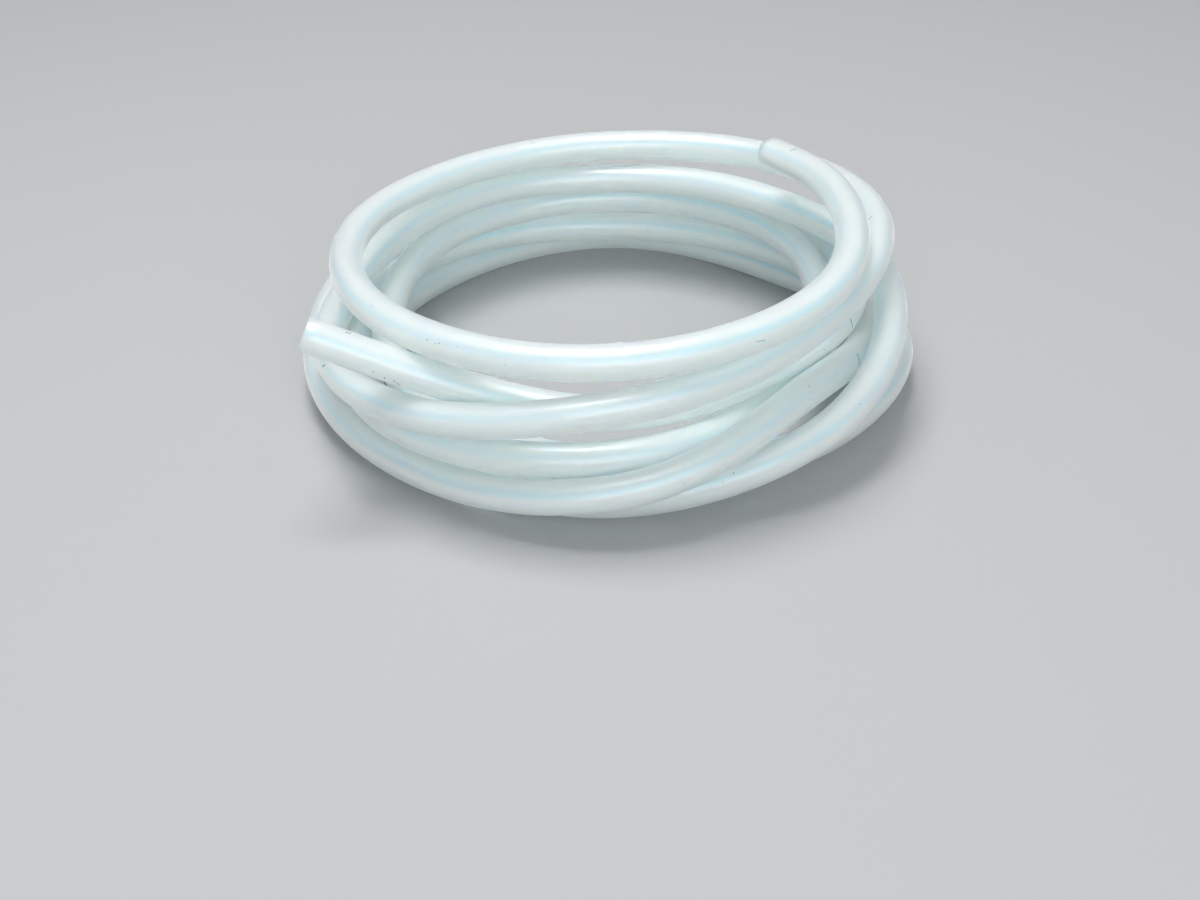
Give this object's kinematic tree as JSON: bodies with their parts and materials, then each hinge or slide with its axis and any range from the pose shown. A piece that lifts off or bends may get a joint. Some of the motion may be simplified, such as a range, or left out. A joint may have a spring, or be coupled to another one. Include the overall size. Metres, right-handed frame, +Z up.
{
  "type": "coil of tubing",
  "caption": "Loose hand-wound coil of translucent, milky silicone laboratory tubing with square-cut open ends.",
  "frame": {"origin": "on the bench, under the middle of the coil's outline", "axes": "+Z up from the bench, along the coil's own axis; -Y towards the side where the lower cut end leaves the coil, +Y towards the side where the upper cut end lies; +X to the right"},
  "size_m": [0.1552, 0.1556, 0.0528],
  "materials": {
    "silicone": "satin, translucent, milky"
  },
  "bodies": {
    "root": {"tube": "silicone"}
  },
  "joints": []
}
